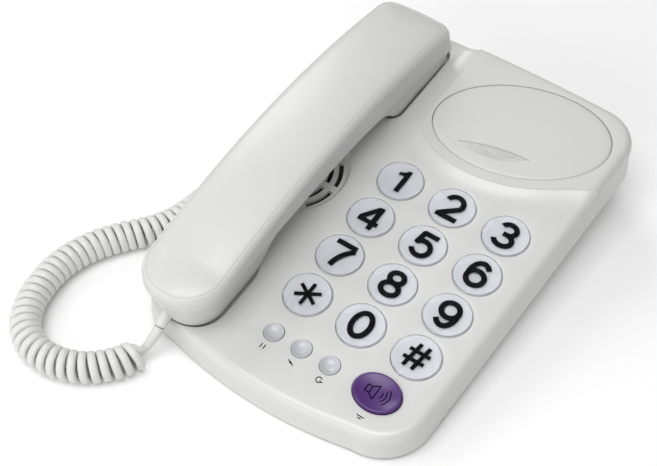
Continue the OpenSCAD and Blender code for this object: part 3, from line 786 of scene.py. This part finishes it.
CAP_PROFILE = [(0, 0.72), (10.2, 0.72), (10.45, 0.5), (10.45, -0.45), (10.9, -0.45), (10.9, 0.7),
               (10.8, 1.15), (10.5, 1.5), (9.9, 1.8), (9, 2.02), (7.5, 2.28), (6, 2.46), (4, 2.64),
               (2, 2.73), (0, 2.76)]
INSERT_PROFILE = [(0, -4.4), (11.6, -4.4), (11.6, -3.2), (10.88, -3.2), (10.88, -0.5), (10.35, -0.5),
                  (10.35, 0.35), (10.2, 0.5), (9.6, 0.42), (8, 0.14), (6, -0.16), (4, -0.34), (2, -0.43),
                  (0, -0.45)]
FIGURE_STROKE, FIGURE_SIZE, FIGURE_Z = 2.55, 1.1, 0.58
BAR_LAYERS = (0.53, 0.63)


def make_keys():
    """Each key's insert, its clear cap and the figure printed between them."""
    for name, centre in zip(KEY_NAMES, key_places()):
        body = f"key_{name}_body"
        points, faces = lathe(INSERT_PROFILE, centre)
        add_piece(f"insert_{name}", points, faces, body, "insert_plastic", nodes=(f"key_{name}",))
        points, faces = lathe(CAP_PROFILE, centre)
        add_piece(f"cap_{name}", points, faces, body, "clear_plastic", nodes=(f"key_cap_{name}",))
        if name == "1":
            make_one(centre, body)
        elif name in BAR_FIGURES:
            printed_bars(f"digit_{name}", BAR_FIGURES[name], centre, body)
        else:
            lines = [[(x * FIGURE_SIZE, y * FIGURE_SIZE) for x, y in line]
                     for line in CURVED_FIGURES[name]]
            print_marks(f"digit_{name}", lines, FIGURE_STROKE, centre, on_figures, body)


def make_one(centre, body):
    """The numeral one, with its flag, as a printed shape."""
    shape = [(0.1, -6.6), (2.5, -6.6), (2.5, 6.6), (0.7, 6.6), (0.1, 5.4), (-1.2, 4.5),
             (-2.7, 4.2), (-2.7, 2.4), (0.1, 2.9)]
    n = len(shape)
    points = [deck(centre[0] + x, centre[1] + y, z) for z in BAR_LAYERS for x, y in shape]
    faces = [tuple(range(n)), tuple(range(n, 2 * n))]
    faces += [(i, (i + 1) % n, n + (i + 1) % n, n + i) for i in range(n)]
    add_piece("digit_1", points, faces, body, "black_plastic", material=PRINT, smooth=20)


def printed_bars(name, bars, centre, body):
    """Crossing bars of print, each from one point to another with half its width, round a centre.
    Each lies a hair above the one before, so that no two faces share a plane."""
    quads = ((0, 3, 2, 1), (4, 5, 6, 7), (0, 1, 5, 4), (1, 2, 6, 5), (2, 3, 7, 6), (3, 0, 4, 7))
    points, faces = [], []
    for k, (start, end, half) in enumerate(bars):
        a, b = Vector(start), Vector(end)
        across = Vector((a.y - b.y, b.x - a.x)).normalized() * half
        corners = (a - across, b - across, b + across, a + across)
        bar = [deck(centre[0] + c.x, centre[1] + c.y, z + 0.002 * k)
               for z in BAR_LAYERS for c in corners]
        join(points, faces, bar, quads)
    add_piece(name, points, faces, body, "black_plastic", material=PRINT)


def bow(centre, radii, start, end):
    """Points of an elliptical arc, by angle in degrees."""
    angles = np.radians(np.linspace(start, end, 2 + int(abs(end - start) / 8)))
    return [(centre[0] + radii[0] * math.cos(a), centre[1] + radii[1] * math.sin(a)) for a in angles]


def on_figures(x, y):
    """Height of the printed figures, just under the caps."""
    return FIGURE_Z


def make_figures():
    """Each figure's strokes about its centre: curved ones as lines, straight ones as bars."""
    spokes = [(6 * math.cos(math.radians(a)), 6 * math.sin(math.radians(a))) for a in (90, 150, 210)]
    bars = {
        "star": [((x, y), (-x, -y), 0.85) for x, y in spokes],
        "4": [((2.4, -6.7), (2.4, 6.7), 1.25), ((-5, -2.9), (5.2, -2.9), 1.15),
              ((-4.1, -2.4), (1.9, 5.9), 1.2)],
        "hash": [((-3, -6.3), (-1.2, 6.3), 0.9), ((1.2, -6.3), (3, 6.3), 0.9), ((-4.7, 2.2), (5.3, 2.2), 0.9),
                 ((-5.3, -2.2), (4.7, -2.2), 0.9)],
    }
    six = [bow((0, -2.1), (3.7, 3.5), 0, 360), bow((0.2, 0), (3.9, 5.6), 38, 200)]
    lines = {
        "0": [bow((0, 0), (3.7, 5.6), 0, 360)],
        "2": [bow((0, 2.1), (3.6, 3.5), 168, -28) + [(-3.4, -5)], [(-4.8, -5.5), (4.8, -5.5)]],
        "3": [bow((-0.1, 2.85), (3.2, 2.75), 165, -90), bow((-0.1, -2.65), (3.8, 2.95), 90, -165),
              [(-1.5, 0.2), (0, 0.2)]],
        "5": [[(4.1, 5.4), (-2.8, 5.4)], [(-2.2, 5.9), (-3.2, -0.6)],
              bow((0, -1.9), (3.8, 3.7), 148, -160)],
        "6": six,
        "7": [[(-4.7, 5.4), (4.7, 5.4)], bow((9.4, -7.9), (10.4, 13.4), 116, 173)],
        "8": [bow((0, 3), (3, 2.6), 0, 360), bow((0, -2.65), (3.7, 2.95), 0, 360)],
        "9": [[(-x, -y) for x, y in line] for line in six],
    }
    return bars, lines


BAR_FIGURES, CURVED_FIGURES = make_figures()


def make_buttons():
    """The three small dished buttons and the oval one; its profile is in shares of its size."""
    small = [(0, -4.4), (5.8, -4.4), (5.8, -3.2), (4.4, -3.2), (4.4, 0.0), (4.34, 0.2), (4.22, 0.29),
             (4.08, 0.25), (3.8, 0.02), (3.2, -0.38), (2.4, -0.78), (1.6, -1.02), (0.8, -1.14),
             (0, -1.17)]
    for name, x in SMALL_BUTTONS.items():
        points, faces = lathe(small, (x, BUTTON_ROW_Y), 56)
        add_piece(f"{name}_top", points, faces, f"{name}_body", "pearl_plastic", nodes=(name,))
    dish = [(0, -4.4), (1.12, -4.4), (1.12, -3.2), (1, -3.2), (1, 0.9), (0.985, 1.2), (0.955, 1.38),
            (0.92, 1.4)]
    dish += [(r, dish_z(r)) for r in (0.88, 0.8, 0.7, 0.6, 0.5, 0.4, 0.3, 0.2, 0.1, 0)]
    points, faces = lathe(dish, (SPEAKER_X, BUTTON_ROW_Y), 96, SPEAKER_SIZE)
    add_piece("speaker_button_top", points, faces, "speaker_button_body", "purple_plastic",
              nodes=("speaker_button",))


def dish_z(share):
    """Height of the oval button's dished top at a share of the way to its edge."""
    return 1.75 * share**2 - 0.05


def stroke(line, width, height, thick=0.06):
    """Points and faces of a raised printed line along 2-D points; height gives the surface's z."""
    pts = np.array(line, float)
    ahead = np.gradient(pts, axis=0)
    ahead /= np.linalg.norm(ahead, axis=1)[:, None]
    side = np.stack([-ahead[:, 1], ahead[:, 0]], axis=1) * width / 2
    points, faces = [], []
    for p, q in zip(pts - side, pts + side):
        for x, y in (p, q):
            z = height(x, y)
            points += [deck(x, y, z - thick), deck(x, y, z + thick)]
    for i in range(len(pts) - 1):
        a, b = 4 * i, 4 * i + 4
        faces += [(a + 1, a + 3, b + 3, b + 1), (a, b, b + 2, a + 2), (a, a + 1, b + 1, b),
                  (a + 2, b + 2, b + 3, a + 3)]
    end = 4 * (len(pts) - 1)
    faces += [(0, 2, 3, 1), (end, end + 1, end + 3, end + 2)]
    return points, faces


def dense(line, step=0.25):
    """A polyline with points no further apart than a step."""
    out = []
    for a, b in zip(line, line[1:]):
        count = max(1, math.ceil(math.dist(a, b) / step))
        out += [(a[0] + (b[0] - a[0]) * i / count, a[1] + (b[1] - a[1]) * i / count)
                for i in range(count)]
    return out + [line[-1]]


def print_marks(name, lines, width, centre, height, body):
    """Several printed strokes, drawn about a centre, as one piece."""
    points, faces = [], []
    for line in lines:
        placed = [(centre[0] + x, centre[1] + y) for x, y in dense(line)]
        join(points, faces, *stroke(placed, width, height))
    add_piece(name, points, faces, body, "black_plastic", material=PRINT, smooth=20)


def make_marks():
    """A loudspeaker on the oval button, and plain marks below the small ones."""
    speaker = [[(-5.2, -1.6), (-3.1, -1.6), (-0.4, -3.6), (-0.4, 3.6), (-3.1, 1.6), (-5.2, 1.6),
                (-5.2, -1.6)], [(-3.1, -1.6), (-3.1, 1.6)]]
    waves = np.linspace(-0.75, 0.75, 14)
    for radius in (2.2, 3.9, 5.6):
        speaker.append([(0.2 + radius * math.cos(a), radius * math.sin(a)) for a in waves])

    def on_dish(x, y):
        share = math.hypot((x - SPEAKER_X) / SPEAKER_SIZE[0], (y - BUTTON_ROW_Y) / SPEAKER_SIZE[1])
        return dish_z(share)

    print_marks("speaker_mark", speaker, 0.5, (SPEAKER_X, BUTTON_ROW_Y), on_dish,
                "speaker_button_body")

    def on_deck(x, y):
        return 0.0

    hold = [[(-0.8, -1.2), (-0.8, 1.2)], [(0.8, -1.2), (0.8, 1.2)]]
    flash = [[(-1.6, 0.9), (0.2, -0.4), (-0.2, 0.5), (1.6, -0.9)]]
    again = [[(1.3 * math.cos(a), 1.3 * math.sin(a)) for a in np.linspace(0.6, 5.6, 24)],
             [(1.9, -0.2), (1.05, -0.85), (0.6, 0.1)]]
    for name, lines in (("hold", hold), ("flash", flash), ("redial", again)):
        centre = (SMALL_BUTTONS[f"{name}_button"], BUTTON_ROW_Y - 8.2)
        print_marks(f"{name}_mark", lines, 0.45, centre, on_deck, "base")
    loud = [[(-1.8, 0), (1.8, 0)], [(-0.9, -1), (0.9, -1)]]
    print_marks("speaker_label", loud, 0.45, (SPEAKER_X, BUTTON_ROW_Y - 12.6), on_deck, "base")


# ---- Handset ----

HANDSET_W, NOSE_R, TAIL_R = 40, 19, 9
HANDSET_FRONT, HANDSET_BACK = -108.5, 98
BELLY = [(-110, -3.1), (-66, -3.1), (-60, -1), (-52, 8), (-44, 12), (-20, 14), (15, 13), (33, 10.5),
         (40, 5), (45.5, -1.2), (48.5, -4.6), (110, -4.6)]
BACK_LEAN = 2.4


def arch(y):
    """A place along the handset, as the arched lines use it; the nose runs level."""
    return (max(y, -88) - 12) / 60


def edge_z(y):
    """Height of the parting line."""
    u = arch(y)
    return 19.1 - 5.1 * u - 3 * u * u


def crease_z(y):
    """Height of the crease between the sides and the crown."""
    u = arch(y)
    return 33.8 - 3.2 * u - 4.6 * u * u


def belly_z(y):
    """The belly's height, its corners rounded by a short moving average."""
    ys, zs = zip(*BELLY)
    return float(np.mean([np.interp(y + d, ys, zs) for d in (-3, -1.5, 0, 1.5, 3)]))


def handset_ring(inset, extra, height):
    """One ring; the straight sides always have the same count of points."""
    w = HANDSET_W / 2 - inset
    rf, rb = max(NOSE_R - inset, 1), max(TAIL_R - inset, 1)
    yf, yb = HANDSET_FRONT + inset, HANDSET_BACK - inset - extra
    half = [(t * (w - rf), yf - 0.03 * (1 - t * t)) for t in (0.2, 0.6)]
    half += arc((w - rf, yf + rf), rf, -90, 0, 20)
    a, b = yf + rf, yb - rb
    half += [(w, a + (b - a) * t) for t in np.linspace(0, 1, 76)[1:-1]]
    half += arc((w - rb, yb - rb), rb, 0, 90, 10)
    half += [(t * (w - rb), yb + 0.5 * (1 - t * t)) for t in (0.8, 0.5, 0.2)]
    return [deck(x, y, height(y)) for x, y in mirrored(half, HANDSET_X)]


def mixed(low, high, t):
    return lambda y: low(y) * (1 - t) + high(y) * t


def make_handset_top():
    """The outer shell, from its hollow's top down to the parting line, and up over the crown."""
    def below_crease(dz):
        return lambda y: crease_z(y) + dz

    rings = [handset_ring(9, 3, below_crease(-0.8)), handset_ring(4.6, 3, below_crease(-2.2)),
             handset_ring(2, 0, edge_z), handset_ring(0.25, 0, edge_z),
             handset_ring(0.06, 0, lambda y: edge_z(y) + 0.15),
             handset_ring(0, 0, lambda y: edge_z(y) + 0.4)]
    side_top = below_crease(-3.4)
    for t in (0.15, 0.35, 0.55, 0.75, 0.9, 1):
        rings.append(handset_ring(0.2 * t, BACK_LEAN * t, mixed(edge_z, side_top, t)))
    crown = ((0.3, -2.8), (0.5, -2.1), (0.85, -1.4), (1.3, -0.8), (1.8, -0.35), (2.25, -0.08), (2.36, -0.05),
             (2.44, -0.2), (2.56, -0.2), (2.64, 0.0), (2.8, 0.12), (3.4, 0.42), (4.5, 0.8), (6.2, 1.22),
             (8.5, 1.6), (11, 1.88), (13.5, 2.08), (16, 2.2), (17.6, 2.26))
    for inset, rise in crown:
        rings.append(handset_ring(inset, BACK_LEAN + min(inset, 3) * 0.8, below_crease(rise)))
    points, faces = loft(rings)
    add_piece("handset_shell_top", points, faces, "handset", "handset_plastic", smooth=38,
              nodes=("handset_top",))


def belly_ring(i_mouth, i_ear, dz, flat=0.0):
    """A ring round the belly, drawn in by one amount at the mouth cup and another at the ear's."""
    mouth, ear = handset_ring(i_mouth, 0, lambda y: 0), handset_ring(i_ear, 1, lambda y: 0)
    out = []
    c, s = math.cos(SLOPE), math.sin(SLOPE)
    for m, e in zip(mouth, ear):
        y_m, y_e = [(p.y / MM - DECK_Y) * c + (p.z / MM - DECK_H) * s for p in (m, e)]
        t = min(max((y_m + 50) / 96, 0), 1)
        t = t * t * (3 - 2 * t)
        x, y = (m.x / MM) * (1 - t) + (e.x / MM) * t, y_m * (1 - t) + y_e * t
        low = belly_z(y)
        out.append(deck(x, y, low + (edge_z(y) - low) * flat + dz))
    return out


def make_handset_bottom():
    """The inner shell: up its inside to the parting line, and down round both cups."""
    rings = [belly_ring(10.5, 6.6, 3), belly_ring(8.2, 4.6, 4.8), belly_ring(2.6, 2.6, -0.25, 1),
             belly_ring(0.8, 0.8, -0.25, 1)]
    for t in (0.82, 0.62, 0.42, 0.22):
        rings.append(belly_ring(0.8 + 4.5 * (1 - t), 0.8 + 1.5 * (1 - t), 0, t))
    rings += [belly_ring(5.2, 2.2, 3.4), belly_ring(5.5, 2.5, 2.4), belly_ring(5.9, 3.0, 1.5),
              belly_ring(6.5, 3.6, 0.75), belly_ring(7.4, 4.4, 0.25), belly_ring(8.6, 5.4, 0.03),
              belly_ring(10, 6.6, 0), belly_ring(14, 11, 0), belly_ring(17, 16, 0)]
    points, faces = loft(rings)
    add_piece("handset_shell_bottom", points, faces, "handset", "handset_plastic", smooth=38,
              nodes=("handset_bottom",))


GLAND_C, GLAND_TILT = (-48, -99.1, 8.9), math.radians(125)


def make_gland():
    """The tapered strain relief, a smooth taper from its root to its tip."""
    start = Vector(GLAND_C)
    ahead = Vector((0, -math.sin(GLAND_TILT), math.cos(GLAND_TILT)))
    side, up = Vector((1, 0, 0)), ahead.cross(Vector((1, 0, 0)))
    profile = [(0, 0), (3, 0), (3, 5.4), (2.95, 7), (2.85, 9), (2.72, 11), (2.6, 12.4), (2.45, 12.9),
               (2.2, 13), (0, 13)]
    points, sides = [], 40
    for radius, along in profile[1:-1]:
        for k in range(sides):
            a = math.tau * k / sides
            p = start + ahead * along + (side * math.cos(a) + up * math.sin(a)) * radius
            points.append(deck(*p))
    rings = len(profile) - 2
    faces = ring_faces(rings, sides)
    faces.append(tuple(range(sides)))
    faces.append(tuple((rings - 1) * sides + k for k in range(sides)))
    add_piece("cord_relief", points, faces, "handset", "cord_vinyl", nodes=("cord_gland",))


# ---- Floor and light ----


LIGHTS = {
    "overhead": ((-0.05, -0.45, 1.2), (0.9, 0.7), 8),
    "right_top": ((0.3, -0.25, 1.2), (0.8, 0.7), 2.2),
    "front_left": ((-0.75, -1.0, 0.45), (0.7, 0.6), 2.7),
    "front": ((0.1, -1.2, 0.6), (0.8, 0.5), 4),
    "left_back": ((-0.9, 0.6, 0.9), (0.6, 0.6), 5),
}


def make_floor():
    """A plain pale sheet, far wider than the view."""
    bpy.ops.mesh.primitive_plane_add(size=8, location=(0, 0, 0))
    floor = bpy.context.object
    floor.name = "floor"
    mat, nodes, links, shader = new_material("floor_paper")
    shader.inputs["Roughness"].default_value = 0.9
    cloud = add_noise(nodes, links, 3).outputs["Fac"]
    tone = ramp_between(nodes, links, cloud, (0.93, 0.93, 0.93), (0.95, 0.95, 0.95))
    links.new(tone, shader.inputs["Base Color"])
    floor.data.materials.append(mat)


def add_area_light(name, place, size, power):
    """A soft white light that points at the middle of the base."""
    light = bpy.data.lights.new(name, "AREA")
    light.shape = "RECTANGLE"
    light.size, light.size_y = size
    light.energy = power
    obj = bpy.data.objects.new(name, light)
    bpy.context.scene.collection.objects.link(obj)
    obj.location = place
    obj.rotation_euler = (-Vector(place)).to_track_quat("-Z", "Y").to_euler()


def make_lights():
    world = bpy.data.worlds.new("studio")
    world.use_nodes = True
    world.node_tree.nodes["Background"].inputs["Color"].default_value = (1, 1, 1, 1)
    world.node_tree.nodes["Background"].inputs["Strength"].default_value = 0.28
    bpy.context.scene.world = world
    for name, (place, size, power) in LIGHTS.items():
        add_area_light(name, place, size, power)


make_camera()
make_cord()
dress_cad_nodes()
make_top_cover()
make_oval_panel()
make_lens()
make_keys()
make_buttons()
make_marks()
make_handset_top()
make_handset_bottom()
make_gland()
make_floor()
make_lights()
bpy.context.scene.view_settings.view_transform = "Standard"
